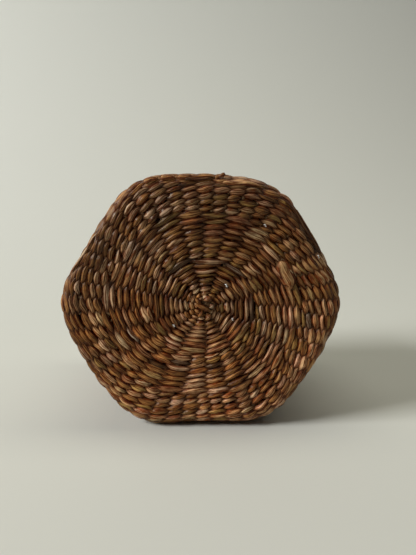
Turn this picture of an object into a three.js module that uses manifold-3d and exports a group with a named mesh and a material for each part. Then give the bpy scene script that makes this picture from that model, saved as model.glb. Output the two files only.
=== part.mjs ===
// Twined six-sided rush box with a pull-off lid, in millimetres, standing on one side wall.
import * as THREE from "three";
import { mergeVertices } from "three/addons/utils/BufferGeometryUtils.js";
import Module from "manifold-3d";

// Overall form
const acrossFlats = 160;
const cornerRadius = 36;
const edgeRadius = 9;
const bodyHeight = 84;
const lidHeight = 32;
const mouthGap = 0.3;

// Twined rows
const weaveThickness = 5.2;
const rowPitch = 3.5;
const valleyDepth = 1;
const footWidth = 1.6;

// Stakes
const stakeThickness = 1.2;
const bundleWidth = 3.6;
const pairWidth = 2.8;
const strawWidth = 2.2;
const stakeGap = 0.3;
const stakeTuck = 3;
const firstFork = 30.8;
const secondFork = 57.6;

// Crossing of the bundles at the centre
const hubRadius = 6;
const hubBundleWidth = 2.8;
const hubLayerThickness = 0.3;
const hubLayerGap = 0.06;
const hubTaper = 4;

// Edge cord between a face and its wall
const cordWidth = 4.7;
const cordStand = 1.2;

// Rolled borders at the lid's rim and at the mouth
const borderHeight = 5.5;
const borderChamfer = 1.5;

// Collar that the lid slides on
const collarThickness = 2.8;
const collarSeatDepth = 18;
const collarStand = 14;
const collarBorderHeight = 3;
const collarBorderChamfer = 0.9;
const collarGap = 0.3;
const lidClearance = 0.5;

// Gap between neighbouring rings of weave
const ringGap = 0.3;

// Counts
const sides = 6;
const pointsPerCorner = 4;
const bundleCount = 6;
const bendSteps = 1;
const cordSteps = 4;

// Angles
const sideAngle = (2 * Math.PI) / sides;
const halfSideAngle = sideAngle / 2;
const rightAngle = Math.PI / 2;
const bendStepAngle = rightAngle / bendSteps;
const bundleAngle = Math.PI / bundleCount;
const pairAngle = bundleAngle / 4;
const strawAngle = pairAngle / 2;

// Places worked out from the sizes above, as lengths along the surface from the centre
const apothem = acrossFlats / 2;
const boxDepth = bodyHeight + mouthGap + lidHeight;
const flatEnd = apothem - edgeRadius;
const bendEnd = flatEnd + edgeRadius * rightAngle;
const cordStart = (flatEnd + bendEnd - cordWidth) / 2;
const cordEnd = cordStart + cordWidth;
const stakeDepth = weaveThickness / 2;
const slotOuterDepth = stakeDepth - stakeThickness / 2 - stakeGap;
const slotInnerDepth = stakeDepth + stakeThickness / 2 + stakeGap;
const slotStart = firstFork - stakeGap;
const hubLayerPitch = hubLayerThickness + hubLayerGap;
const hubStackThickness = bundleCount * hubLayerPitch - hubLayerGap;
const collarApothem = apothem - weaveThickness - collarGap;
const skirtThickness = apothem - collarApothem - lidClearance;

const wasm = await Module();
wasm.setup();

const weaveMaterial = new THREE.MeshStandardMaterial({ color: 0x6a4526, roughness: 0.5 });
const cordMaterial = new THREE.MeshStandardMaterial({ color: 0x5c3d22, roughness: 0.5 });
const stakeMaterial = new THREE.MeshStandardMaterial({ color: 0x8a6a45, roughness: 0.6 });

// A row's corners are round near the centre and turn into the box's corners towards the wall.
function cornerRadiusAt(rowApothem) {
  const squareness = (1 - cornerRadius / apothem) * (rowApothem / apothem) ** 2;
  return rowApothem * (1 - squareness);
}

// Points of one row's outline, anticlockwise, with a corner of the box on the +X axis.
function ringPoints(rowApothem) {
  const radius = cornerRadiusAt(rowApothem);
  const centreReach = (rowApothem - radius) / Math.cos(halfSideAngle);
  const points = [];
  for (let corner = 0; corner < sides; corner += 1) {
    for (let step = 0; step < pointsPerCorner; step += 1) {
      const cornerAngle = corner * sideAngle;
      const turn = cornerAngle - halfSideAngle + (sideAngle * step) / (pointsPerCorner - 1);
      const x = centreReach * Math.cos(cornerAngle) + radius * Math.cos(turn);
      const y = centreReach * Math.sin(cornerAngle) + radius * Math.sin(turn);
      points.push([x, y]);
    }
  }
  return points;
}

// The point where a ray from the centre crosses a row's outline.
function ringCrossing(rowApothem, angle) {
  const points = ringPoints(rowApothem);
  const ray = [Math.cos(angle), Math.sin(angle)];
  for (let index = 0; index < points.length; index += 1) {
    const [startX, startY] = points[index];
    const [endX, endY] = points[(index + 1) % points.length];
    const startSide = ray[0] * startY - ray[1] * startX;
    const endSide = ray[0] * endY - ray[1] * endX;
    const facesRay = ray[0] * (startX + endX) + ray[1] * (startY + endY) > 0;
    if (startSide <= 0 && endSide > 0 && facesRay) {
      const share = startSide / (startSide - endSide);
      return [startX + share * (endX - startX), startY + share * (endY - startY)];
    }
  }
  return points[0];
}

// A point on the rounded edge, as [apothem, height], turned from the face towards the wall.
function edgePoint(angle, radius) {
  return [flatEnd + radius * Math.sin(angle), radius * Math.cos(angle) - edgeRadius];
}

// A point of the outer surface at a length from the centre and a depth under it.
function surfacePoint(length, depth) {
  if (length <= flatEnd) {
    return [length, -depth];
  }
  if (length < bendEnd) {
    return edgePoint((length - flatEnd) / edgeRadius, edgeRadius - depth);
  }
  return [apothem - depth, bendEnd - edgeRadius - length];
}

// The same for the layers inside, which turn the edge in straight steps as the stakes do.
function layerPoint(length, depth) {
  if (length <= flatEnd || length >= bendEnd) {
    return surfacePoint(length, depth);
  }
  const angle = (length - flatEnd) / edgeRadius;
  const fromMiddle = (angle % bendStepAngle) - bendStepAngle / 2;
  const radius = ((edgeRadius - depth) * Math.cos(bendStepAngle / 2)) / Math.cos(fromMiddle);
  return edgePoint(angle, radius);
}

// Lengths at which a layer bends between two lengths along the surface.
function bendsBetween(start, end) {
  const bends = [];
  for (let step = 0; step <= bendSteps; step += 1) {
    const length = flatEnd + edgeRadius * bendStepAngle * step;
    if (length > start && length < end) {
      bends.push(length);
    }
  }
  return bends;
}

function layerLine(start, end, depth) {
  const low = Math.min(start, end);
  const high = Math.max(start, end);
  const bends = bendsBetween(low, high);
  const lengths = [low, ...bends, high];
  if (start > end) {
    lengths.reverse();
  }
  return lengths.map((length) => layerPoint(length, depth));
}

// Outer side of a band of rows: one rib a row, and a flat top on the row that the box can stand on.
function ribbedLine(start, end) {
  const rows = Math.round((end - start) / rowPitch);
  const pitch = (end - start) / rows;
  const footRow = Math.floor((flatEnd - start) / pitch) - 1;
  const line = [surfacePoint(start, valleyDepth)];
  for (let row = 0; row < rows; row += 1) {
    const middle = start + (row + 1 / 2) * pitch;
    if (row === footRow) {
      line.push(surfacePoint(middle - footWidth / 2, 0));
      line.push(surfacePoint(middle + footWidth / 2, 0));
    } else {
      line.push(surfacePoint(middle, 0));
    }
    line.push(surfacePoint(middle + pitch / 2, valleyDepth));
  }
  return line;
}

function geometryOf(positions, indices) {
  const geometry = new THREE.BufferGeometry();
  geometry.setAttribute("position", new THREE.Float32BufferAttribute(positions, 3));
  geometry.setIndex(Array.from(indices));
  geometry.computeVertexNormals();
  return geometry;
}

// Sweeps a closed section of [apothem, height] points once round the box.
function sweepRound(section) {
  const positions = [];
  section.forEach(([rowApothem, height]) => {
    ringPoints(rowApothem).forEach(([x, y]) => positions.push(x, y, height));
  });
  const around = sides * pointsPerCorner;
  const indices = [];
  section.forEach((_, row) => {
    const nextRow = (row + 1) % section.length;
    for (let column = 0; column < around; column += 1) {
      const nextColumn = (column + 1) % around;
      const here = row * around + column;
      const below = nextRow * around + column;
      const belowNext = nextRow * around + nextColumn;
      const beside = row * around + nextColumn;
      indices.push(here, below, belowNext);
      indices.push(here, belowNext, beside);
    }
  });
  return geometryOf(positions, indices);
}

function middleOf(first, second) {
  return first.map((value, axis) => (value + second[axis]) / 2);
}

// Triangles of a convex outline, fanned out from its first point.
function fan(outline) {
  const triangles = [];
  for (let index = 1; index + 1 < outline.length; index += 1) {
    triangles.push(outline[0], outline[index], outline[index + 1]);
  }
  return triangles;
}

// The four sides between two sections; where straws part, the broad sides get a middle point.
function stepSides(here, ahead, partsHere, partsAhead) {
  return here.flatMap((_, corner) => {
    const next = (corner + 1) % here.length;
    const broad = corner % 2 === 0;
    if (broad && partsHere) {
      const middle = middleOf(here[corner], here[next]);
      return fan([middle, here[next], ahead[next], ahead[corner], here[corner]]);
    }
    if (broad && partsAhead) {
      const middle = middleOf(ahead[corner], ahead[next]);
      return fan([middle, ahead[corner], here[corner], here[next], ahead[next]]);
    }
    return fan([here[corner], here[next], ahead[next], ahead[corner]]);
  });
}

// Sides of a strip through sections of four corners: outer left, outer right, inner right, inner left.
function stripSides(sections, partsAtStart, partsAtEnd) {
  const last = sections.length - 2;
  return sections
    .slice(1)
    .flatMap((ahead, step) =>
      stepSides(sections[step], ahead, partsAtStart && step === 0, partsAtEnd && step === last),
    );
}

// A closed mesh from loose triangles that meet at equal corners.
function closedGeometry(triangles) {
  const loose = new THREE.BufferGeometry();
  loose.setAttribute("position", new THREE.Float32BufferAttribute(triangles.flat(), 3));
  const geometry = mergeVertices(loose);
  geometry.computeVertexNormals();
  return geometry;
}

function solidOf(geometry) {
  const vertProperties = new Float32Array(geometry.getAttribute("position").array);
  const triVerts = new Uint32Array(geometry.index.array);
  return new wasm.Manifold(new wasm.Mesh({ numProp: 3, vertProperties, triVerts }));
}

function geometryFrom(solid) {
  const mesh = solid.getMesh();
  return geometryOf(mesh.vertProperties, mesh.triVerts);
}

// One cross section of a stake that follows the weave.
function stakeSection(length, angle, width) {
  const outer = layerPoint(length, stakeDepth - stakeThickness / 2);
  const inner = layerPoint(length, stakeDepth + stakeThickness / 2);
  const spread = width / 2 / Math.hypot(...ringCrossing(outer[0], angle));
  const corner = ([rowApothem, height], side) => [
    ...ringCrossing(rowApothem, angle + side * spread),
    height,
  ];
  return [corner(outer, 1), corner(outer, -1), corner(inner, -1), corner(inner, 1)];
}

// A section across a bundle: its place along the bundle, half width, middle height, half thickness.
function bundleSection(angle, along, half, middle, thick) {
  const corner = (across, up) => [
    along * Math.cos(angle) - across * half * Math.sin(angle),
    along * Math.sin(angle) + across * half * Math.cos(angle),
    middle + up * thick,
  ];
  return [corner(1, 1), corner(-1, 1), corner(-1, -1), corner(1, -1)];
}

// Bundle straight across the centre, pressed to one thin layer where the six bundles cross.
function bundleSides(bundle) {
  const layer = (bundle - (bundleCount - 1) / 2) * hubLayerPitch - stakeDepth;
  const armEnd = hubRadius + hubTaper;
  const angle = bundle * bundleAngle;
  const arm = (along) =>
    bundleSection(angle, along, bundleWidth / 2, -stakeDepth, stakeThickness / 2);
  const hub = (along) =>
    bundleSection(angle, along, hubBundleWidth / 2, layer, hubLayerThickness / 2);
  const sections = [
    arm(-firstFork),
    arm(-armEnd),
    hub(-hubRadius),
    hub(hubRadius),
    arm(armEnd),
    arm(firstFork),
  ];
  return stripSides(sections, true, true);
}

// The left and the right half of a section, where the straws part.
function halvesOf([outerLeft, outerRight, innerRight, innerLeft]) {
  const outer = middleOf(outerLeft, outerRight);
  const inner = middleOf(innerLeft, innerRight);
  return [
    [outerLeft, outer, inner, innerLeft],
    [outer, outerRight, innerRight, inner],
  ];
}

// Single straw from the second fork, over the edge and down the wall.
function strawSides(root, tip, wallEnd) {
  const end = stakeSection(wallEnd, tip, strawWidth);
  const bends = bendsBetween(secondFork, wallEnd);
  const sections = [root, ...bends.map((length) => stakeSection(length, tip, strawWidth)), end];
  return [...stripSides(sections, false, false), ...fan(end)];
}

// One arm of a bundle, which parts into two pairs and then into four straws.
function armSides(armAngle, wallEnd) {
  const armEnd = bundleSection(
    armAngle,
    firstFork,
    bundleWidth / 2,
    -stakeDepth,
    stakeThickness / 2,
  );
  const turns = [1, -1];
  return halvesOf(armEnd).flatMap((pairRoot, pairSide) => {
    const pairTip = armAngle + turns[pairSide] * pairAngle;
    const pairEnd = stakeSection(secondFork, pairTip, pairWidth);
    const straws = halvesOf(pairEnd).flatMap((strawRoot, strawSide) =>
      strawSides(strawRoot, pairTip + turns[strawSide] * strawAngle, wallEnd),
    );
    return [...stripSides([pairRoot, pairEnd], false, true), ...straws];
  });
}

// One bundle of straws, with both of its arms run down opposite walls.
function stakeBundle(bundle, wallEnd) {
  const angle = bundle * bundleAngle;
  const arms = [angle, angle + Math.PI].flatMap((armAngle) => armSides(armAngle, wallEnd));
  return closedGeometry([...bundleSides(bundle), ...arms]);
}

// Room for one bundle inside a face, up to the slot.
function bundleTunnel(bundle) {
  const half = bundleWidth / 2 + stakeGap;
  const thick = hubStackThickness / 2 + stakeGap;
  const angle = bundle * bundleAngle;
  const start = bundleSection(angle, -firstFork, half, -stakeDepth, thick);
  const end = bundleSection(angle, firstFork, half, -stakeDepth, thick);
  const caps = [...fan(start.toReversed()), ...fan(end)];
  return solidOf(closedGeometry([...stripSides([start, end], false, false), ...caps]));
}

// Flat face of twined rows round the crossing, with a slot for the pairs and the single straws.
function faceWeave() {
  const end = cordStart - ringGap / 2;
  const section = [
    ...ribbedLine(hubRadius, end),
    ...layerLine(end, slotStart, slotOuterDepth),
    ...layerLine(slotStart, end, slotInnerDepth),
    ...layerLine(end, hubRadius, weaveThickness),
  ];
  let face = solidOf(sweepRound(section));
  for (let bundle = 0; bundle < bundleCount; bundle += 1) {
    face = face.subtract(bundleTunnel(bundle));
  }
  return geometryFrom(face);
}

// Thick twined row laid over the edge, outside the bent straws.
function edgeCord() {
  const start = (cordStart + ringGap / 2 - flatEnd) / edgeRadius;
  const end = (cordEnd - ringGap / 2 - flatEnd) / edgeRadius;
  const outer = [];
  for (let step = 0; step <= cordSteps; step += 1) {
    const share = step / cordSteps;
    const swell = (valleyDepth + cordStand) * Math.sin(Math.PI * share);
    outer.push(edgePoint(start + (end - start) * share, edgeRadius - valleyDepth + swell));
  }
  const inner = layerLine(cordEnd - ringGap / 2, cordStart + ringGap / 2, slotOuterDepth);
  return sweepRound([...outer, ...inner]);
}

function wallRim(height) {
  return bendEnd + height - edgeRadius;
}

function wallEndOf(height) {
  return wallRim(height) - borderHeight - ringGap / 2;
}

// Band of twined rows from the edge cord to the border, with a slot for the straws.
function wallWeave(height, thickness) {
  const start = cordEnd + ringGap / 2;
  const end = wallEndOf(height);
  const slotEnd = end - stakeTuck;
  return sweepRound([
    ...ribbedLine(start, end),
    ...layerLine(end, start, thickness),
    ...layerLine(start, slotEnd, slotInnerDepth),
    ...layerLine(slotEnd, start, slotOuterDepth),
  ]);
}

// Closed section of a border with its four corners cut off.
function borderSection(outerApothem, top, bottom, thickness, chamfer) {
  const inner = outerApothem - thickness;
  return [
    [outerApothem - chamfer, top],
    [outerApothem, top - chamfer],
    [outerApothem, bottom + chamfer],
    [outerApothem - chamfer, bottom],
    [inner + chamfer, bottom],
    [inner, bottom + chamfer],
    [inner, top - chamfer],
    [inner + chamfer, top],
  ];
}

function rimBorder(height, thickness) {
  const top = borderHeight - height - ringGap / 2;
  return sweepRound(borderSection(apothem, top, -height, thickness, borderChamfer));
}

// Woven band that is seated inside the mouth and stands out of it.
function collarWeave() {
  const top = collarSeatDepth - bodyHeight;
  const bottom = collarBorderHeight - bodyHeight - collarStand + ringGap / 2;
  const inner = collarApothem - collarThickness;
  return sweepRound([
    [collarApothem, top],
    [collarApothem, bottom],
    [inner, bottom],
    [inner, top],
  ]);
}

function collarBorder() {
  const bottom = -bodyHeight - collarStand;
  const top = bottom + collarBorderHeight - ringGap / 2;
  return sweepRound(
    borderSection(collarApothem, top, bottom, collarThickness, collarBorderChamfer),
  );
}

function addPiece(group, name, geometry, material) {
  const mesh = new THREE.Mesh(geometry, material);
  mesh.name = name;
  group.add(mesh);
}

function addStakes(group, prefix, height) {
  const wallEnd = wallEndOf(height) - stakeTuck - stakeGap;
  for (let bundle = 0; bundle < bundleCount; bundle += 1) {
    addPiece(group, `${prefix}_${bundle + 1}`, stakeBundle(bundle, wallEnd), stakeMaterial);
  }
}

// Face at height 0 and wall below it; the group then turns the face to the front.
function makeLid() {
  const lid = new THREE.Group();
  addPiece(lid, "lid_top_weave", faceWeave(), weaveMaterial);
  addPiece(lid, "lid_edge_cord", edgeCord(), cordMaterial);
  addPiece(lid, "lid_skirt_weave", wallWeave(lidHeight, skirtThickness), weaveMaterial);
  addPiece(lid, "lid_border", rimBorder(lidHeight, skirtThickness), cordMaterial);
  addStakes(lid, "lid_stakes", lidHeight);
  lid.rotation.x = rightAngle;
  lid.position.set(0, -boxDepth / 2, apothem);
  return lid;
}

// Built like the lid, with the collar in its mouth; the group turns its base to the back.
function makeBody() {
  const body = new THREE.Group();
  addPiece(body, "base_weave", faceWeave(), weaveMaterial);
  addPiece(body, "base_edge_cord", edgeCord(), cordMaterial);
  addPiece(body, "wall_weave", wallWeave(bodyHeight, weaveThickness), weaveMaterial);
  addPiece(body, "mouth_border", rimBorder(bodyHeight, weaveThickness), cordMaterial);
  addPiece(body, "collar_weave", collarWeave(), weaveMaterial);
  addPiece(body, "collar_border", collarBorder(), cordMaterial);
  addStakes(body, "body_stakes", bodyHeight);
  body.rotation.x = -rightAngle;
  body.position.set(0, boxDepth / 2, apothem);
  return body;
}

const box = new THREE.Group();
box.add(makeLid(), makeBody());

export default box;
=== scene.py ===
import math

import bpy
import numpy as np
from mathutils import Matrix, Vector


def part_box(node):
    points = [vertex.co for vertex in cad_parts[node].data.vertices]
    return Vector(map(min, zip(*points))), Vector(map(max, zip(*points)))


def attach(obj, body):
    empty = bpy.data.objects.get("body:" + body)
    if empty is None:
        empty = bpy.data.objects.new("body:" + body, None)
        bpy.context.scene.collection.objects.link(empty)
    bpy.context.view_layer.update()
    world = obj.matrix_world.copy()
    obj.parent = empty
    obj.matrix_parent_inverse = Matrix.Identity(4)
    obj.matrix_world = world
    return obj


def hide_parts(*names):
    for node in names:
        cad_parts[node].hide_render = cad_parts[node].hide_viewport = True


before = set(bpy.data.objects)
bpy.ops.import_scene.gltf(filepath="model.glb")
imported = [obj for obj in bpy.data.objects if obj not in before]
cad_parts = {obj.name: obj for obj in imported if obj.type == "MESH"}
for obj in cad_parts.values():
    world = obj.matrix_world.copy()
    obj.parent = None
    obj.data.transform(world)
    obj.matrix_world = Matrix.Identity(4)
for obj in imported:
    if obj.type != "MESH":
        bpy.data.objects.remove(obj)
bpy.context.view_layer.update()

# Camera: 25 cm in front of the face, a little below the top edge, tilted slightly down.
# Its place, aim and slight roll were fitted to the hexagon's outline in the photograph.
camera_place = Vector((-0.0041, -0.3068, 0.1398))
camera_pitch = 0.166
camera_yaw = 0.0244
camera_roll = -0.0126
camera_lens = 27.24

look = Vector((
    math.cos(camera_pitch) * math.sin(camera_yaw),
    math.cos(camera_pitch) * math.cos(camera_yaw),
    -math.sin(camera_pitch),
))
level_right = Vector((math.cos(camera_yaw), -math.sin(camera_yaw), 0))
level_up = level_right.cross(look)
camera_right = math.cos(camera_roll) * level_right - math.sin(camera_roll) * level_up
camera_up = math.sin(camera_roll) * level_right + math.cos(camera_roll) * level_up

camera_data = bpy.data.cameras.new("photo_camera")
camera_data.lens = camera_lens
camera_data.sensor_width = 36
camera_data.clip_start = 0.01
camera_data.clip_end = 20
camera = bpy.data.objects.new("photo_camera", camera_data)
bpy.context.scene.collection.objects.link(camera)
camera.matrix_world = Matrix.Translation(camera_place) @ Matrix(
    (camera_right, camera_up, -look)
).transposed().to_4x4()
bpy.context.scene.camera = camera

# Stakes: split rush, dried pale, in six flat bundles of four straws that cross at the middle of a face.
# On the way to the rim each bundle parts into two pairs and then into single straws, 48 in all.
# The rows are twined round them, so they hardly show but at the crossing.
bundles = 6
corner_radius = 0.036
edge_radius = 0.009
weave_thickness = 0.0052
lid_height = 0.032
body_height = 0.084
first_fork = 0.0308
second_fork = 0.0576
fork_run = 0.006
straw_half_width = 0.00045
spread_straw_half_width = 0.0010
straw_half_thickness = 0.0006
crossing_reach = 0.007
crossing_top = 0.0008
crossing_layer = 0.00034
apothem = (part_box("wall_weave")[1].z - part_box("wall_weave")[0].z) / 2
lid_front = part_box("lid_top_weave")[0].y
base_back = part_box("base_weave")[1].y
flat_end = apothem - edge_radius
bend_end = flat_end + edge_radius * math.pi / 2
lid_rim = bend_end + lid_height - edge_radius
body_rim = bend_end + body_height - edge_radius
half_side = math.pi / 6
pair_turn = half_side / 4
straw_turn = half_side / 8

# How far the handmade outline stands outside a true hexagon, every 30 degrees from +X.
outline_offsets = (
    -0.0008, -0.0006, -0.0032, -0.0003, -0.0015, 0.0006,
    0.0023, 0.0040, 0.0008, -0.0016, -0.0014, 0.0014,
)
offset_reach = 0.070
least_reach = 1e-6
least_vector = 1e-9

# A straw's line has points on four stretches: the crossing, the face, the rounded edge and the side.
crossing_points = 5
face_points = 18
bend_points = 7
side_points = 6
face_from = 0.010
bend_gap = 0.002
side_gap = 0.004

straw_dark = (0.085, 0.040, 0.015)
straw_pale = (0.270, 0.155, 0.070)
straw_levels = (0.32, 0.68)
straw_fibre_scale = (60.0, 1500.0, 1.0)


def row_reach(row_apothem, angle):
    """Distance from the centre to a row's outline, a hexagon that is rounder near the centre."""
    squareness = (1 - corner_radius / apothem) * (row_apothem / apothem) ** 2
    radius = row_apothem * (1 - squareness)
    centre = (row_apothem - radius) / math.cos(half_side)
    turn = np.abs((angle + half_side) % (2 * half_side) - half_side)
    tangent = np.arctan2(radius * math.sin(half_side), centre + radius * math.cos(half_side))
    off_line = np.clip(radius**2 - (centre * np.sin(turn)) ** 2, 0, None)
    on_corner = centre * np.cos(turn) + np.sqrt(off_line)
    on_side = row_apothem / np.cos(half_side - turn)
    return np.where(turn < tangent, on_corner, on_side)


def on_box(length, angle, depth):
    """Point at a length along the surface from the centre, an angle round it and a depth under it."""
    turn = np.clip((length - flat_end) / edge_radius, 0, math.pi / 2)
    past = np.clip(length - bend_end, 0, None)
    out = np.minimum(length, flat_end) + (edge_radius - depth) * np.sin(turn)
    height = (edge_radius - depth) * np.cos(turn) - edge_radius - past
    reach = row_reach(np.where(length < flat_end, np.maximum(length, least_reach), out), angle)
    return np.stack([reach * np.cos(angle), reach * np.sin(angle), height], axis=-1)


def eased(share):
    """A share from 0 to 1 that starts and ends gently."""
    share = np.clip(share, 0, 1)
    return share * share * (3 - 2 * share)


def hand_shaped(points):
    """Moves points of the true hexagon to the handmade outline, and keeps them on the table."""
    across = points[:, 0]
    rise = points[:, 2] - apothem
    reach = np.maximum(np.hypot(across, rise), least_reach)
    offsets = np.array(outline_offsets)
    turn = np.arctan2(rise, across) / half_side % len(offsets)
    before = np.floor(turn).astype(int)
    share = eased(turn - before)
    offset = offsets[before % len(offsets)] * (1 - share) + offsets[(before + 1) % len(offsets)] * share
    grown = 1 + offset * np.clip(reach / offset_reach, 0, 1) ** 2 / reach
    return np.stack([across * grown, points[:, 1], np.maximum(apothem + rise * grown, 0)], axis=-1)


def on_lid(points):
    return hand_shaped(np.stack([points[:, 0], lid_front - points[:, 2], apothem + points[:, 1]], axis=-1))


def on_body(points):
    return hand_shaped(np.stack([points[:, 0], base_back + points[:, 2], apothem - points[:, 1]], axis=-1))


def unit(vectors):
    return vectors / np.maximum(np.linalg.norm(vectors, axis=-1, keepdims=True), least_vector)


# Corners of a strand's section, as angles round it; most of them lie on the side that shows.
# A dried strand is folded along a ridge, so that side is nearly a roof, and its underside is wider.
# Its colour is darkened along its two flanks, painted shade where its neighbours cover it.
ring_degrees = (-90, -30, 8, 38, 66, 90, 114, 142, 172, 210)
roof_power = 1.15
underside_spread = 1.55
flank_foot = 0.40
flank_top = 0.62
groove_turn = math.radians(24)
groove_reach = math.radians(15)
flank_painted_shade = np.array((0.32, 0.09, 0.015))


def strand_through(middle, outward, half_width, half_thick, lean, groove, colours, closed):
    """A strand as a tube through points, with a ridge that leans to a side and a groove beside it."""
    ring = np.radians(ring_degrees)[None, :]
    shown = np.clip(np.sin(ring), 0, 1)
    # Painted shade: the colour is darkened on the flanks of the section, where neighbouring strands cover
    # it.
    unshaded = np.clip((np.abs(np.sin(ring[0])) - flank_foot) / (flank_top - flank_foot), 0, 1)
    flank_shading = flank_painted_shade + (1 - flank_painted_shade) * unshaded[:, None]
    roof = (np.abs(np.cos(ring)) ** roof_power + np.abs(np.sin(ring)) ** roof_power) ** (-1 / roof_power)
    roof = np.where(shown > 0, roof, 1)
    spread = np.where(shown > 0, roof, underside_spread)
    sides = len(ring_degrees)
    count = len(middle)
    last = count if closed else count - 1
    if closed:
        along = unit(np.roll(middle, -1, axis=0) - np.roll(middle, 1, axis=0))
        steps = np.linalg.norm(np.roll(middle, -1, axis=0) - middle, axis=1)
    else:
        along = unit(np.gradient(middle, axis=0))
        steps = np.linalg.norm(np.diff(middle, axis=0), axis=1)
    across = unit(np.cross(along, outward))
    up = np.cross(across, along)
    groove_at = math.pi / 2 - groove_turn * np.sign(groove)[:, None]
    dent = 1 - np.abs(groove)[:, None] * np.exp(-(((ring - groove_at) / groove_reach) ** 2))
    aside = half_width[:, None] * (spread * np.cos(ring) + lean[:, None] * shown)
    rise = half_thick[:, None] * roof * dent * np.sin(ring)
    points = middle[:, None, :] + across[:, None, :] * aside[:, :, None] + up[:, None, :] * rise[:, :, None]
    run = np.concatenate([[0], np.cumsum(steps)])
    here = np.arange(last)[:, None] * sides
    ahead = ((np.arange(last) + 1) % count)[:, None] * sides
    side = np.arange(sides)[None, :]
    beside = (side + 1) % sides
    faces = np.stack([here + side, ahead + side, ahead + beside, here + beside], axis=-1)
    girth = math.pi * float(np.mean(half_width + half_thick))
    u = np.stack([run[:last], run[1:last + 1], run[1:last + 1], run[:last]], axis=-1)
    v = girth * np.stack([side[0], side[0], side[0] + 1, side[0] + 1], axis=-1) / sides
    uv = np.stack(np.broadcast_arrays(u[:, None, :], v[None, :, :]), axis=-1)
    caps = (np.arange(sides)[::-1], (count - 1) * sides + np.arange(sides))
    return {
        "points": points.reshape(-1, 3),
        "faces": faces.reshape(-1, 4),
        "uv": uv.reshape(-1, 2),
        "colours": (colours[:, None, :] * flank_shading[None, :, :]).reshape(-1, 3),
        "caps": () if closed else caps,
    }


def woven_piece(name, strands, place, finish, body, slot, *nodes):
    """One mesh from its strands, put in its place, with its finish and its body."""
    mesh = bpy.data.meshes.new(name)
    starts = np.cumsum([0] + [len(strand["points"]) for strand in strands])
    faces = []
    caps = []
    for start, strand in zip(starts, strands):
        faces += (strand["faces"] + start).tolist()
        caps += [(cap + start).tolist() for cap in strand["caps"]]
    points = np.concatenate([strand["points"] for strand in strands])
    uv = np.concatenate([strand["uv"] for strand in strands] + [np.zeros((sum(map(len, caps)), 2))])
    colours = np.concatenate([strand["colours"] for strand in strands])
    mesh.from_pydata(place(points).tolist(), [], faces + caps)
    mesh.uv_layers.new(name="along_strand").data.foreach_set("uv", uv.ravel())
    tone = mesh.attributes.new("rush_tone", "FLOAT_COLOR", "POINT")
    tone.data.foreach_set("color", np.column_stack([colours, np.ones(len(colours))]).ravel())
    mesh.shade_smooth()
    mesh.materials.append(finish)
    piece = bpy.data.objects.new(name, mesh)
    bpy.context.scene.collection.objects.link(piece)
    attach(piece, body)
    if nodes:
        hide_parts(*nodes)


def blank_finish(name):
    finish = bpy.data.materials.new(name)
    finish.use_nodes = True
    finish.node_tree.nodes.clear()
    return finish, finish.node_tree


def add_node(tree, kind, inputs=None, **settings):
    """A node with its settings; each input is linked to the socket given, or set to the value given."""
    node = tree.nodes.new(kind)
    for key, value in settings.items():
        setattr(node, key, value)
    for key, value in (inputs or {}).items():
        if isinstance(value, bpy.types.NodeSocket):
            tree.links.new(value, node.inputs[key])
        else:
            node.inputs[key].default_value = value
    return node


def mix_colours(tree, blend, factor, first, second):
    """Two colours mixed; in a mix node input 0 is the factor, and inputs 6 and 7 are the colours."""
    inputs = {0: factor, 6: first, 7: second}
    node = add_node(tree, "ShaderNodeMix", inputs, data_type="RGBA", blend_type=blend)
    return node.outputs[2]


def fibre_noise(tree, run, scale):
    """Noise drawn out along the strand, as its fibres are."""
    stretched = add_node(tree, "ShaderNodeMapping", {"Vector": run.outputs["UV"], "Scale": scale})
    return add_node(tree, "ShaderNodeTexNoise", {
        "Vector": stretched.outputs["Vector"], "Scale": 1.0, "Detail": 3.0, "Roughness": 0.6,
    })


def noise_between(tree, noise, levels, reach=(0.0, 1.0)):
    """A noise between two of its levels, brought to a new range."""
    node = add_node(tree, "ShaderNodeMapRange", {
        "Value": noise.outputs["Fac"], "From Min": levels[0], "From Max": levels[1],
        "To Min": reach[0], "To Max": reach[1],
    })
    return node.outputs["Result"]


def straw_finish():
    """Split straw: dull, in long pale and dark streaks."""
    finish, tree = blank_finish("straw_stakes")
    run = add_node(tree, "ShaderNodeUVMap", uv_map="along_strand")
    fibres = fibre_noise(tree, run, straw_fibre_scale)
    share = noise_between(tree, fibres, straw_levels)
    colour = mix_colours(tree, "MIX", share, (*straw_dark, 1), (*straw_pale, 1))
    relief = add_node(tree, "ShaderNodeBump", {
        "Height": fibres.outputs["Fac"], "Strength": 0.5, "Distance": 0.0002,
    })
    skin = add_node(tree, "ShaderNodeBsdfPrincipled", {
        "Base Color": colour, "Roughness": 0.55, "Specular IOR Level": 0.3,
        "Normal": relief.outputs["Normal"],
    })
    add_node(tree, "ShaderNodeOutputMaterial", {"Surface": skin.outputs["BSDF"]})
    return finish


def half_straw(angle, pair_side, straw_side, layer, rim):
    """Middle line, outward direction and half width of one straw, from the crossing to the rim."""
    length = np.concatenate([
        np.linspace(0, crossing_reach, crossing_points),
        np.linspace(face_from, flat_end, face_points),
        np.linspace(flat_end + bend_gap, bend_end, bend_points),
        np.linspace(bend_end + side_gap, rim, side_points),
    ])
    parted = eased((length - first_fork + fork_run) / fork_run)
    spread = eased((length - second_fork + fork_run) / fork_run)
    turned = angle + pair_turn * pair_side * parted + straw_turn * straw_side * spread
    aside = straw_half_width * (2 * pair_side * (1 - parted) + straw_side * (1 - spread))
    sunk = eased(length / crossing_reach)
    depth = layer + (weave_thickness / 2 - layer) * sunk
    beside = np.stack([-np.sin(turned), np.cos(turned), np.zeros(len(turned))], axis=-1)
    middle = on_box(length, turned, depth) + beside * aside[:, None]
    outward = unit(on_box(length, turned, depth - edge_radius) - on_box(length, turned, depth))
    return middle, outward, straw_half_width + (spread_straw_half_width - straw_half_width) * spread


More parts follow.
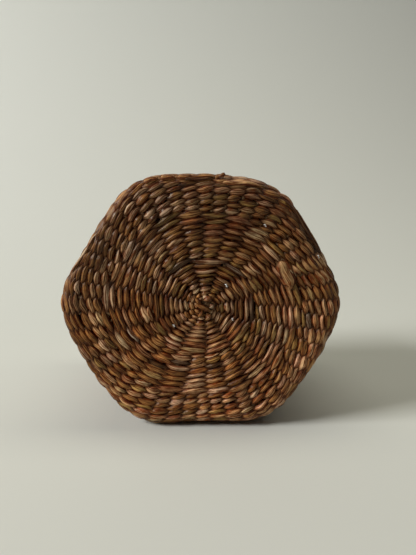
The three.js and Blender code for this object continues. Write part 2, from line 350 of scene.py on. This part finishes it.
def bundle_straws(bundle, rim):
    """Four straws that run right through the crossing, from rim to rim."""
    angle = half_side * bundle
    layer = crossing_top + crossing_layer * bundle
    straws = []
    for pair_side in (-1, 1):
        for straw_side in (-1, 1):
            near = half_straw(angle + math.pi, -pair_side, -straw_side, layer, rim)
            far = half_straw(angle, pair_side, straw_side, layer, rim)
            middle, outward, half_width = (np.concatenate([a[:0:-1], b]) for a, b in zip(near, far))
            count = len(middle)
            thick = np.full(count, straw_half_thickness)
            even = np.zeros(count)
            tone = np.ones((count, 3))
            straws.append(strand_through(middle, outward, half_width, thick, even, even, tone, closed=False))
    return straws


straw = straw_finish()
for bundle in range(bundles):
    name = f"straws_{bundle + 1}"
    lid_stakes = f"lid_stakes_{bundle + 1}"
    body_stakes = f"body_stakes_{bundle + 1}"
    lid_straws = bundle_straws(bundle, lid_rim)
    body_straws = bundle_straws(bundle, body_rim)
    woven_piece("lid_" + name, lid_straws, on_lid, straw, "lid", "straw_stakes", lid_stakes)
    woven_piece("body_" + name, body_straws, on_body, straw, "body", "straw_stakes", body_stakes)

# Face of the lid: rows of two rush strands, twined round the stakes from the crossing outwards.
# Each stitch passes over one stake and behind the next; its clockwise end lies farther out.
# The stakes fork twice, so there are 12 stitches a row, then 24, then 48.
hub_stitches = 12
pair_stitches = 24
rim_stitches = 48
hub_steps = 8
stitch_steps = 6
face_start = 0.0042
cord_start = 0.07572
face_rows = 22
inner_width_share = 0.80
outer_width_share = 1.12
first_width_shares = (0.92, 0.95)
face_width_spread = 0.08
# A row wanders in waves: how far, how many go round the box, and how far each row's wave is turned.
row_waves = ((0.00028, 2, 40), (0.00022, 5, 90))

# Where the strands of a row cross. Near the middle the stakes were spread by eye, so the gaps differ.
hub_crossing_degrees = (-165, -141, -119, -87, -55, -20, 12, 43, 72, 105, 133, 164)
first_crossing = {pair_stitches: half_side / 20, rim_stitches: half_side / 8}
crossing_spread = 0.045
crossing_tails = 3
most_crossing_shift = 0.22

# Shares of a stitch are counted from its middle, where 1 is the middle of the next one.
strand_half_thickness = 0.00120
tip_end = 0.58
tip_power = 1.4
tip_width_share = 0.29
tip_thickness_share = 0.85
middle_width_share = 0.53
hidden_fullness = 0.8
tuck_middle = 0.60
tuck_reach = 0.18
hub_tuck_reach = 0.26
stitch_slant = 0.25
hub_slant = 0.17
tuck_end = 0.8
stitch_hold = 1.5
# No two stitches are alike: how much they differ in height, groove, lean, place and width.
stitch_lift = 0.00018
stitch_groove = 0.85
stitch_lean = 0.4
stitch_shift_share = 0.11
fatness_spread = 0.16
thinnest = 0.75
fattest = 1.4
# Rows near the rounded edge are pulled tight, so their stitches lie longer and flatter.
edge_hold = 2.5
edge_thickening = 0.0003
edge_middle = 0.084
edge_reach = 0.009
# The direction out of a surface is taken from two points on one line, this far apart.
outward_step = 0.0004

rush_tones = {
    "brown": (139, 88, 40),
    "dark_brown": (120, 73, 30),
    "olive": (132, 91, 40),
    "red_brown": (132, 74, 33),
    "tan": (153, 105, 58),
    "near_black": (78, 46, 18),
    "orange_brown": (158, 95, 42),
    "rosy_brown": (143, 90, 49),
    "bleached": (168, 132, 90),
    # The near-white straw tone is a painted glint, used for the splinters on the face.
    "straw": (226, 210, 178),
}
# How often each tone comes in a row, in the same order; the last two are only in loops and laid ends.
tone_shares = (0.40, 0.20, 0.13, 0.03, 0.10, 0.03, 0.01, 0.10, 0, 0)
tone_spread = 0.26
palest = 0.42
fewest_alike = 2
most_alike = 8
bleached_tone = (176, 148, 112)
bleaching = 0.7
dark_stain = np.array((0.85, 1.15, 1.6))
# Painted shade where a stitch goes down behind its neighbour at a crossing: its colour is darkened there.
tip_painted_shade = np.array((0.27, 0.09, 0.015))
# The face of the lid is darker towards its top and paler towards its foot: painted light from the pale table
# below, and painted shade above.
lid_painted_light = 0.44
painted_light_turn = math.radians(-4)
# Stitches of another tone: how far out and, in degrees, how far round they lie.
lid_patches = (
    ("red_brown", 0.0435, 0.0500, 74, 98),
    ("red_brown", 0.0500, 0.0570, 60, 80),
    ("near_black", 0.0755, 0.0860, 26, 52),
    ("dark_brown", 0.0740, 0.0950, 118, 216),
)
patch_spread = 0.15

# The finish: dark furrows and pale ribs along a strand, small specks, and larger stains over the weave.
furrow_shade = (0.38, 0.19, 0.065)
rib_shade = (1.60, 2.10, 3.1)
rush_fibre_scale = (90.0, 1300.0, 1.0)
rib_levels = (0.44, 0.56)
patch_levels = (0.3, 0.7)
speck_scale = 240.0
speck_range = (0.68, 1.32)
stain_scale = 55.0
stain_range = (0.72, 1.28)
row_roughness = 0.30
roughness_swing = 0.08
gloss_level = 0.20
gloss_tint = (1.0, 0.90, 0.72)


def linear_colour(tone):
    """A screen colour from 0 to 255, turned into the amounts of light that it stands for."""
    share = np.asarray(tone) / 255
    return np.where(share <= 0.04045, share / 12.92, ((share + 0.055) / 1.055) ** 2.4)


def bleached(colours, brightness):
    """Colours made darker and redder, or paler and less brown where they are brighter than usual."""
    share = bleaching * np.clip(brightness - 1, 0, 1)[:, None]
    stained = np.minimum(brightness, 1)[:, None] ** dark_stain * np.maximum(brightness, 1)[:, None]
    return colours * stained * (1 - share) + linear_colour(bleached_tone) * share


def strand_colours(rng, stitches):
    """Colour of each stitch along a strand: lengths of rush of one tone, with a spread inside each."""
    tones = np.array([linear_colour(tone) for tone in rush_tones.values()])
    colours = np.zeros((stitches, 3))
    stitch = 0
    while stitch < stitches:
        stretch = int(rng.integers(fewest_alike, most_alike + 1))
        colours[stitch:stitch + stretch] = tones[rng.choice(len(tones), p=tone_shares)]
        stitch += stretch
    return bleached(colours, np.exp(np.minimum(rng.normal(0, tone_spread, stitches), palest)))


def with_patches(rng, colours, row, middle_degrees, patches):
    """The colours of a row's stitches, changed where a patch of another tone covers them."""
    for tone, near, far, first, last in patches:
        if near < row < far:
            there = (middle_degrees > first) & (middle_degrees < last)
            patch = np.tile(linear_colour(rush_tones[tone]), (len(colours), 1))
            patch = bleached(patch, np.exp(rng.normal(0, patch_spread, len(colours))))
            colours = np.where(there[:, None], patch, colours)
    return colours


def row_crossings(rng, stitches):
    """Angles at which the strands of a row cross; the last one is the first, a whole turn on."""
    shift = rng.standard_t(crossing_tails, stitches) * crossing_spread
    shift = np.clip(shift, -most_crossing_shift, most_crossing_shift)
    if stitches == hub_stitches:
        crossing = np.radians(hub_crossing_degrees)
    else:
        crossing = first_crossing[stitches] + 2 * math.pi / stitches * np.arange(stitches)
    crossing = crossing + 2 * math.pi / stitches * shift
    return np.append(crossing, crossing[0] + 2 * math.pi)


def stitch_change(rng, most, stitches, stitch, share):
    """A value of each stitch's own, which changes evenly from one end of the stitch to the other."""
    start, end = rng.uniform(-most, most, (2, stitches))
    return start[stitch] + (end - start)[stitch] * share


def laid_line(surface, length, angle, depth):
    """A line along a surface, and the direction out of the surface all along it."""
    line = surface(length, angle, depth)
    return line, unit(surface(length, angle, depth - outward_step) - line)


def twined_row(
    rng, surface, row, width, stitches, thickness, half_thick, hold, patches=(), painted_light=0, steps=stitch_steps
):
    """The two strands of one row, each over every other stake and crossed between the stakes."""
    crossing = row_crossings(rng, stitches)
    middle_degrees = np.degrees((crossing[:-1] + crossing[1:]) / 2) % 360
    stitches_on = np.arange(stitches * steps) / steps
    stitch = np.arange(stitches * steps) // steps
    share = stitches_on - stitch
    angle = crossing[stitch] + share * (crossing[stitch + 1] - crossing[stitch])
    half_stitch = np.diff(crossing)[stitch] / 2
    straight = np.cos(half_stitch) / np.cos((2 * share - 1) * half_stitch)
    bent = min(row, flat_end) * (straight / straight.mean() - 1)
    wander = sum(reach * np.sin(waves * angle + turn * row) for reach, waves, turn in row_waves)
    swing = np.abs(np.sin(math.pi * stitches_on))
    # Painted light: the colour grows paler towards the foot of the face and darker towards its top.
    painted_light_factor = 1 - painted_light * np.sin(angle + painted_light_turn) * row / apothem
    at_hub = stitches == hub_stitches
    slant, reach = (hub_slant, hub_tuck_reach) if at_hub else (stitch_slant, tuck_reach)
    strands = []
    for strand in range(2):
        away = np.abs((stitches_on + strand + 0.5) % 2 - 1)
        sunk = np.clip(away / tuck_end, 0, 1) ** hold
        on_top = 1 - (away / tip_end) ** tip_power
        behind = hidden_fullness * (away - tip_end) / (1 - tip_end)
        full = np.where(away < tip_end, on_top, behind)
        lift = rng.normal(0, stitch_lift, stitches)
        fatness = np.clip(1 + rng.normal(0, fatness_spread, stitches), thinnest, fattest)
        shift = rng.normal(0, stitch_shift_share * width, stitches)
        slope = slant * width * np.cos(math.pi * (stitches_on + strand))
        length = row + wander + bent + slope + shift[stitch] * swing
        depth = half_thick + (thickness - 2 * half_thick) * sunk - lift[stitch] * swing
        middle_share = middle_width_share * fatness[stitch]
        half_width = width * (tip_width_share + (middle_share - tip_width_share) * full)
        thick = half_thick * (tip_thickness_share + (1 - tip_thickness_share) * full)
        lean = stitch_change(rng, stitch_lean, stitches, stitch, share) * swing**0.5
        groove = stitch_change(rng, stitch_groove, stitches, stitch, share) * swing**0.5
        colours = with_patches(rng, strand_colours(rng, stitches), row, middle_degrees, patches)
        # Painted shade: the colour is darkened where the stitch dives under the other strand at a crossing.
        tuck_shade = np.exp(-(((away - tuck_middle) / reach) ** 2))[:, None]
        colours = colours[stitch] * painted_light_factor[:, None] * (1 - (1 - tip_painted_shade) * tuck_shade)
        line, outward = laid_line(surface, length, angle, depth)
        strands.append(strand_through(line, outward, half_width, thick, lean, groove, colours, closed=True))
    return strands


def box_row(rng, row, width, patches=(), painted_light=0):
    """A row on the face or the wall; rows near the rounded edge are pulled tight and lie flatter."""
    tight = math.exp(-(((row - edge_middle) / edge_reach) ** 2))
    half_thick = strand_half_thickness + edge_thickening * tight
    hold = stitch_hold + edge_hold * tight
    stitches = hub_stitches if row < first_fork else pair_stitches if row < second_fork else rim_stitches
    steps = hub_steps if row < first_fork else stitch_steps
    return twined_row(
        rng, on_box, row, width, stitches, weave_thickness, half_thick, hold, patches, painted_light, steps
    )


def rows_between(start, end, widths):
    """Middle and width of each row, where rows of these relative widths fill a stretch of the surface."""
    widths = widths * ((end - start) / widths.sum())
    edges = start + np.concatenate([[0], np.cumsum(widths)])
    return zip((edges[:-1] + edges[1:]) / 2, widths)


def rush_finish(name, roughness):
    """Glossy dried rush: the strand's own tone, streaked along the fibres and duller on the pale ribs."""
    finish, tree = blank_finish(name)
    tone = add_node(tree, "ShaderNodeAttribute", attribute_name="rush_tone")
    run = add_node(tree, "ShaderNodeUVMap", uv_map="along_strand")
    fibres = fibre_noise(tree, run, rush_fibre_scale)
    furrow = mix_colours(tree, "MULTIPLY", 1.0, tone.outputs["Color"], (*furrow_shade, 1))
    rib = mix_colours(tree, "MULTIPLY", 1.0, tone.outputs["Color"], (*rib_shade, 1))
    streaked = mix_colours(tree, "MIX", noise_between(tree, fibres, rib_levels), furrow, rib)
    specks = add_node(tree, "ShaderNodeTexNoise", {
        "Vector": run.outputs["UV"], "Scale": speck_scale, "Detail": 2.0,
    })
    place = add_node(tree, "ShaderNodeTexCoord")
    stains = add_node(tree, "ShaderNodeTexNoise", {
        "Vector": place.outputs["Object"], "Scale": stain_scale, "Detail": 1.0,
    })
    both = add_node(tree, "ShaderNodeMath", {
        0: noise_between(tree, specks, patch_levels, speck_range),
        1: noise_between(tree, stains, patch_levels, stain_range),
    }, operation="MULTIPLY")
    colour = mix_colours(tree, "MULTIPLY", 1.0, streaked, both.outputs["Value"])
    sheen_range = (roughness - roughness_swing, roughness + roughness_swing)
    relief = add_node(tree, "ShaderNodeBump", {
        "Height": fibres.outputs["Fac"], "Strength": 0.8, "Distance": 0.0003,
    })
    skin = add_node(tree, "ShaderNodeBsdfPrincipled", {
        "Base Color": colour, "Roughness": noise_between(tree, fibres, patch_levels, sheen_range),
        "Specular IOR Level": gloss_level, "Specular Tint": (*gloss_tint, 1),
        "Normal": relief.outputs["Normal"],
    })
    add_node(tree, "ShaderNodeOutputMaterial", {"Surface": skin.outputs["BSDF"]})
    return finish


def face_strands(seed, patches=(), painted_light=0):
    """All rows of one face, from the crossing to the edge cord; they grow wider on the way."""
    rng = np.random.default_rng(seed)
    widths = np.linspace(inner_width_share, outer_width_share, face_rows)
    widths *= 1 + rng.normal(0, face_width_spread, face_rows)
    widths[:len(first_width_shares)] *= first_width_shares
    strands = []
    for middle, width in rows_between(face_start, cord_start, widths):
        strands += box_row(rng, middle, width, patches, painted_light)
    return strands


rush = rush_finish("rush_weave", row_roughness)
lid_face = face_strands(seed=11, patches=lid_patches, painted_light=lid_painted_light)
woven_piece("lid_face_rows", lid_face, on_lid, rush, "lid", "rush_weave", "lid_top_weave")

# Crossing of the lid: the weaver's first end lies over the crossed straws, and its loops fill the gaps.
# It is the same rush as the rows. Each loop comes up between the straws, arches over and goes down again.
hub_loops = (
    # tone, half width, then how far right and up its ends lie from the middle
    ("brown", 0.0013, (-0.0062, 0.0022), (0.0048, -0.0030)),
    ("tan", 0.0013, (0.0008, -0.0080), (0.0042, -0.0048)),
    ("bleached", 0.0013, (0.0034, -0.0004), (0.0058, 0.0014)),
    ("rosy_brown", 0.0013, (-0.0004, 0.0040), (0.0042, 0.0062)),
    ("brown", 0.0011, (-0.0058, -0.0020), (-0.0020, -0.0034)),
    ("dark_brown", 0.0012, (-0.0054, 0.0050), (-0.0022, 0.0016)),
    ("brown", 0.0011, (-0.0036, -0.0064), (-0.0010, -0.0022)),
)
loop_points = 12
loop_rise = 0.0008
loop_foot = 0.0016
loop_arch_power = 0.6
loop_foot_width_share = 0.45
# Painted shade: a loop's colour is darkened towards its feet, where it goes down between the straws.
loop_foot_painted_shade = 0.4
loop_thickness_share = 0.8
loop_lean = 0.2
loop_groove = 0.4


def hub_loop(tone, half_width, start, end):
    share = np.linspace(0, 1, loop_points)
    arch = np.sin(math.pi * share) ** loop_arch_power
    across, up = (a + (b - a) * share for a, b in zip(start, end))
    line = np.stack([across, up, loop_rise * arch - loop_foot * (1 - arch)], axis=-1)
    outward = np.tile((0.0, 0.0, 1.0), (loop_points, 1))
    width = half_width * (loop_foot_width_share + (1 - loop_foot_width_share) * arch)
    thick = width * loop_thickness_share
    lean = np.full(loop_points, loop_lean)
    groove = np.full(loop_points, loop_groove)
    # Painted shade towards the feet of the loop.
    foot_shade_share = loop_foot_painted_shade + (1 - loop_foot_painted_shade) * arch
    colours = linear_colour(rush_tones[tone]) * foot_shade_share[:, None]
    return strand_through(line, outward, width, thick, lean, groove, colours, closed=False)


loops = [hub_loop(*loop) for loop in hub_loops]
woven_piece("lid_crossing_loops", loops, on_lid, rush, "lid", "rush_weave")

# Edge cord of the lid: one thicker twined row laid over the edge, where the face turns into the skirt.
# It is rush like the rest, pulled tight, so its stitches are long and stand out little.
cord_width = 0.0047
cord_hold = 4.5
cord_half_thickness = 0.0017
cord_roughness = 0.38
cord_finish = rush_finish("rush_cord", cord_roughness)


def edge_cord_strands(seed, patches=()):
    rng = np.random.default_rng(seed)
    middle = cord_start + cord_width / 2
    return twined_row(
        rng, on_box, middle, cord_width, rim_stitches,
        weave_thickness, cord_half_thickness, cord_hold, patches,
    )


lid_cord = edge_cord_strands(seed=12, patches=lid_patches)
woven_piece("lid_edge_row", lid_cord, on_lid, cord_finish, "lid", "rush_cord", "lid_edge_cord")

# Cut ends on the lid's edge: where the edge cord was finished off, its ends were laid along the edge.
# A short one stands up at the top, and long dark ones lie flat to the right of it.
# One strand on the face was twined in flat and wide, and a few straw splinters show beside it; their
# near-white colour is a painted glint.
laid_ends = (
    # tone, half width, then length, angle in degrees and height over the surface at its ends
    ("dark_brown", 0.0010, (0.0790, 101, 0.0001), (0.0785, 85, 0.0006)),
    ("near_black", 0.0009, (0.0768, 100, 0.0001), (0.0768, 87, 0.0004)),
    ("tan", 0.0012, (0.0752, 83, 0.0000), (0.0772, 65, 0.0004)),
    ("near_black", 0.0009, (0.0778, 56, 0.0001), (0.0776, 27, 0.0003)),
    ("dark_brown", 0.0009, (0.0800, 50, 0.0001), (0.0803, 24, 0.0003)),
    ("bleached", 0.0009, (0.0786, 146, 0.0002), (0.0792, 168, 0.0006)),
    ("brown", 0.0016, (0.0790, 102, 0.0003), (0.0786, 95, 0.0004)),
    ("brown", 0.0016, (0.0790, 109, 0.0003), (0.0786, 103, 0.0004)),
    ("brown", 0.0016, (0.0790, 116, 0.0003), (0.0786, 110, 0.0004)),
    ("tan", 0.0036, (0.0537, 32.0, -0.0001), (0.0527, 12.0, -0.0001)),
    # Splinters in the near-white tone: painted glints on the face.
    ("straw", 0.00042, (0.0190, 49, 0.0009), (0.0186, 42, 0.0009)),
    ("straw", 0.00036, (0.0216, -149.5, 0.0009), (0.0214, -145, 0.0009)),
    ("straw", 0.00036, (0.0188, -25.5, 0.0009), (0.0186, -21, 0.0009)),
    ("straw", 0.00036, (0.0752, 25.4, 0.0009), (0.0750, 23.8, 0.0009)),
    ("straw", 0.00036, (0.0606, 55.4, 0.0009), (0.0604, 53.6, 0.0009)),
)
end_points = 26
end_depth = 0.0002
end_wander = 0.0003
end_wander_turn = 9
end_tone_spread = 0.1
end_thickness_share = 0.6
end_lean = 0.1
end_groove = 0.3
end_groove_turn = 5
laid_half_thickness = 0.0010
# The root of an end comes out from between the stitches, and its tip is tucked in again.
root_depth = 0.0010
root_share = 0.12
root_width_share = 0.3
root_widening_share = 0.15
tip_depth = 0.0008
tip_share = 0.10
tip_narrowing = 0.75
tip_narrowing_share = 0.3
tucked_taper = 1.0
# The end that stands up is cut off square, so its tip hardly tapers.
stub_start = (0.0786, 86.0, -0.0004)
stub_end = (0.0796, 82.2, 0.0024)
stub_half_width = 0.0013
stub_taper = 0.3


def laid_end(rng, tone, half_width, start, end, taper):
    """One end of a strand, laid over the weave from its root to its tip in a slight wave of its own."""
    share = np.linspace(0, 1, end_points)
    length, degrees, height = (a + (b - a) * share for a, b in zip(start, end))
    length = length + end_wander * np.sin(end_wander_turn * share + start[1])
    root = 1 - eased(share / root_share)
    tip = taper * (1 - eased((1 - share) / tip_share))
    depth = end_depth - height + root_depth * root + tip_depth * tip
    widening = root_width_share + (1 - root_width_share) * eased(share / root_widening_share)
    narrowing = 1 - tip_narrowing * taper * (1 - eased((1 - share) / tip_narrowing_share))
    width = half_width * np.minimum(widening, narrowing)
    thick = np.minimum(width * end_thickness_share, laid_half_thickness)
    lean = end_lean * (1 - 2 * share)
    groove = end_groove * np.sin(end_groove_turn * share)
    brightness = np.exp(rng.normal(0, end_tone_spread, end_points))
    colours = linear_colour(rush_tones[tone]) * brightness[:, None]
    line, outward = laid_line(on_box, length, np.radians(degrees), depth)
    return strand_through(line, outward, width, thick, lean, groove, colours, closed=False)


rng = np.random.default_rng(seed=15)
ends = [laid_end(rng, *end, tucked_taper) for end in laid_ends]
ends.append(laid_end(rng, "dark_brown", stub_half_width, stub_start, stub_end, stub_taper))
woven_piece("lid_edge_ends", ends, on_lid, cord_finish, "lid", "rush_cord")

# Skirt of the lid: the same twined rows, carried on down the side, 48 stitches a row.
# The straws turn the edge with them, and run on under them to the rim.
row_pitch = 0.0035
wall_start = cord_start + cord_width
wall_width_spread = 0.06
border_height = 0.0055


def wall_strands(start, end, seed, patches=()):
    """All rows of a wall between two lengths along the surface."""
    rng = np.random.default_rng(seed)
    rows = round((end - start) / row_pitch)
    widths = 1 + rng.normal(0, wall_width_spread, rows)
    strands = []
    for middle, width in rows_between(start, end, widths):
        strands += box_row(rng, middle, width, patches)
    return strands


skirt = wall_strands(wall_start, lid_rim - border_height, seed=13, patches=lid_patches)
woven_piece("lid_skirt_rows", skirt, on_lid, rush, "lid", "rush_weave", "lid_skirt_weave")

# Rolled border of the lid: the straw ends are bent over at the rim and bound into a three-strand rope.
# It is the same rush as the edge cord, and it keeps the last row from slipping off the straws.
rope_strands = 3
rope_turns = 36
rope_steps = 10
rope_rise_share = 0.25
rope_sway_share = 0.24
rope_strand_share = 0.27
rope_lean = 0.3
rope_lean_waves = 31
rope_groove = 0.4
rope_groove_waves = 23
skirt_thickness = 0.0050


def border_rope(surface, rim, thickness, height, seed):
    """A rope that runs round a rim, its strands twisted round each other."""
    rng = np.random.default_rng(seed)
    count = rope_turns * rope_steps
    angle = 2 * math.pi * np.arange(count) / count
    half_width = np.full(count, rope_strand_share * height)
    thick = np.full(count, rope_strand_share * thickness)
    strands = []
    for strand in range(rope_strands):
        twist = rope_turns * angle + 2 * math.pi * strand / rope_strands
        length = rim - height / 2 + rope_rise_share * height * np.cos(twist)
        depth = thickness / 2 + rope_sway_share * thickness * np.sin(twist)
        colours = np.repeat(strand_colours(rng, rope_turns), rope_steps, axis=0)
        lean = rope_lean * np.sin(angle * rope_lean_waves + strand)
        groove = rope_groove * np.sin(angle * rope_groove_waves + 2 * strand)
        line, outward = laid_line(surface, length, angle, depth)
        strands.append(strand_through(line, outward, half_width, thick, lean, groove, colours, closed=True))
    return strands


lid_rope = border_rope(on_box, lid_rim, skirt_thickness, border_height, seed=14)
woven_piece("lid_rim_rope", lid_rope, on_lid, cord_finish, "lid", "rush_cord", "lid_border")

# Base of the box: the same crossing loops, face and edge cord as the lid's, woven in the same rush.
# Its first strand was started a quarter turn round from the lid's, and its cut ends are tucked away.
base_loops = [
    hub_loop(tone, half_width, (start[1], -start[0]), (end[1], -end[0]))
    for tone, half_width, start, end in hub_loops
]
base_face = face_strands(seed=21)
base_cord = edge_cord_strands(seed=22)
woven_piece("base_crossing_loops", base_loops, on_body, rush, "body", "rush_weave")
woven_piece("base_rows", base_face, on_body, rush, "body", "rush_weave", "base_weave")
woven_piece("base_edge_row", base_cord, on_body, cord_finish, "body", "rush_cord", "base_edge_cord")

# Wall of the box: twined rows from the base's edge cord up to the mouth, and a rope round the mouth.
# It is woven on the straws of the base, in the same rush. Its many rows are kept as two halves.
wall = wall_strands(wall_start, body_rim - border_height, seed=23)
half_wall = len(wall) // 2
woven_piece("wall_rows_low", wall[:half_wall], on_body, rush, "body", "rush_weave", "wall_weave")
woven_piece("wall_rows_high", wall[half_wall:], on_body, rush, "body", "rush_weave", "wall_weave")
mouth_rope = border_rope(on_box, body_rim, weave_thickness, border_height, seed=24)
woven_piece("mouth_rope", mouth_rope, on_body, cord_finish, "body", "rush_cord", "mouth_border")

# Collar: a thinner woven band stitched inside the mouth, which the lid slides on.
# Its rows are finer than the wall's, and a thin rope finishes its free rim.
collar_apothem = (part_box("collar_weave")[1].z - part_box("collar_weave")[0].z) / 2
collar_thickness = 0.0028
collar_row_pitch = 0.0029
collar_foot = base_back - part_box("collar_weave")[1].y
collar_top = base_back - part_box("collar_weave")[0].y
collar_rim = base_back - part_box("collar_border")[0].y
collar_half_thickness = 0.00062


def on_collar(length, angle, depth):
    """Point of the collar at a length from the foot of the box, an angle round it and a depth under it."""
    reach = row_reach(collar_apothem - depth, angle)
    return np.stack([reach * np.cos(angle), reach * np.sin(angle), -length], axis=-1)


def collar_strands(seed):
    """All rows of the collar, of one width."""
    rng = np.random.default_rng(seed)
    rows = round((collar_top - collar_foot) / collar_row_pitch)
    pitch = (collar_top - collar_foot) / rows
    strands = []
    for row in range(rows):
        middle = collar_foot + (row + 0.5) * pitch
        strands += twined_row(
            rng, on_collar, middle, pitch, rim_stitches, collar_thickness, collar_half_thickness, stitch_hold
        )
    return strands


collar = collar_strands(seed=25)
collar_rope = border_rope(on_collar, collar_rim, collar_thickness, collar_rim - collar_top, seed=26)
woven_piece("collar_rows", collar, on_body, rush, "body", "rush_weave", "collar_weave")
woven_piece("collar_rope", collar_rope, on_body, cord_finish, "body", "rush_cord", "collar_border")

# Stage: a plain pale sheet that runs along the table and up behind the box in one wide bend.
# It is dull and far wider than the box, so its sides and a glare stay out of the photo's view.
sheet_colour = (0.64, 0.65, 0.605)
sheet_roughness = 0.9
sheet_gloss = 0.1
sheet_width = 6.0
sheet_front_y = -1.6
backdrop_y = 1.15
backdrop_height = 1.6
backdrop_bend = 1.0
bend_segments = 32
edge_tolerance = 1e-4

bpy.ops.object.select_all(action="DESELECT")
bpy.ops.mesh.primitive_plane_add(size=1, location=(0, (sheet_front_y + backdrop_y) / 2, 0))
stage = bpy.context.object
stage.name = "pale_sheet"
stage.scale = (sheet_width, backdrop_y - sheet_front_y, 1)
bpy.ops.object.transform_apply(location=True, rotation=True, scale=True)


def select_edge(height, depth):
    """Selects only the edge of the sheet at one height and one distance back."""
    bpy.ops.object.mode_set(mode="OBJECT")
    for edge in stage.data.edges:
        corners = [stage.data.vertices[i].co for i in edge.vertices]
        gaps = [max(abs(corner.z - height), abs(corner.y - depth)) for corner in corners]
        edge.select = max(gaps) < edge_tolerance
    bpy.ops.object.mode_set(mode="EDIT")


bpy.ops.object.mode_set(mode="EDIT")
bpy.ops.mesh.select_mode(type="EDGE")
bpy.ops.mesh.select_all(action="DESELECT")
select_edge(0, backdrop_y)
bpy.ops.mesh.extrude_region_move(TRANSFORM_OT_translate={"value": (0, 0, backdrop_height)})
bpy.ops.mesh.select_all(action="DESELECT")
select_edge(0, backdrop_y)
bpy.ops.mesh.bevel(offset=backdrop_bend, segments=bend_segments)
bpy.ops.object.mode_set(mode="OBJECT")
stage.data.shade_smooth()
sheet, sheet_tree = blank_finish("pale_sheet")
sheet_skin = add_node(sheet_tree, "ShaderNodeBsdfPrincipled", {
    "Base Color": (*sheet_colour, 1), "Roughness": sheet_roughness, "Specular IOR Level": sheet_gloss,
})
add_node(sheet_tree, "ShaderNodeOutputMaterial", {"Surface": sheet_skin.outputs["BSDF"]})
stage.data.materials.append(sheet)

# Light: a wide window on the left, a little in front, and a weak warm glow from above on the right.
# The room all round is pale where it is seen or mirrored, and sheds only a dim light on the box.
window_place = (-2.50, -0.84, 1.75)
window_aim = (0, 0, 0.06)
window_size = (1.0, 1.0)
window_power = 96
window_colour = (1.0, 0.99, 0.97)
ceiling_place = (0.25, 0.06, 1.10)
ceiling_aim = (0.25, 0.06, 0)
ceiling_size = (1.6, 0.25)
ceiling_power = 5.0
ceiling_colour = (1.0, 0.95, 0.80)
room_colour = (0.97, 0.98, 0.95)
room_level = 0.02
wall_level = 0.6


def soft_light(name, place, aim, size, power, colour):
    """A flat rectangular light at a place, turned to what it lights."""
    data = bpy.data.lights.new(name, "AREA")
    data.shape = "RECTANGLE"
    data.size, data.size_y = size
    data.energy = power
    data.color = colour
    lamp = bpy.data.objects.new(name, data)
    bpy.context.scene.collection.objects.link(lamp)
    lamp.location = place
    lamp.rotation_euler = (Vector(aim) - Vector(place)).to_track_quat("-Z", "Y").to_euler()


soft_light("window", window_place, window_aim, window_size, window_power, window_colour)
soft_light("ceiling", ceiling_place, ceiling_aim, ceiling_size, ceiling_power, ceiling_colour)

world = bpy.data.worlds.new("pale_room")
world.use_nodes = True
world.node_tree.nodes.clear()
ray = add_node(world.node_tree, "ShaderNodeLightPath")
seen = add_node(world.node_tree, "ShaderNodeMath", {
    0: ray.outputs["Is Camera Ray"], 1: ray.outputs["Is Glossy Ray"],
}, operation="MAXIMUM")
seen_through = add_node(world.node_tree, "ShaderNodeMath", {
    0: seen.outputs["Value"], 1: ray.outputs["Is Transmission Ray"],
}, operation="MAXIMUM")
level = add_node(world.node_tree, "ShaderNodeMapRange", {
    "Value": seen_through.outputs["Value"], "To Min": room_level, "To Max": wall_level,
})
room = add_node(world.node_tree, "ShaderNodeBackground", {
    "Color": (*room_colour, 1), "Strength": level.outputs["Result"],
})
add_node(world.node_tree, "ShaderNodeOutputWorld", {"Surface": room.outputs["Background"]})
bpy.context.scene.world = world
bpy.context.scene.view_settings.view_transform = "Standard"
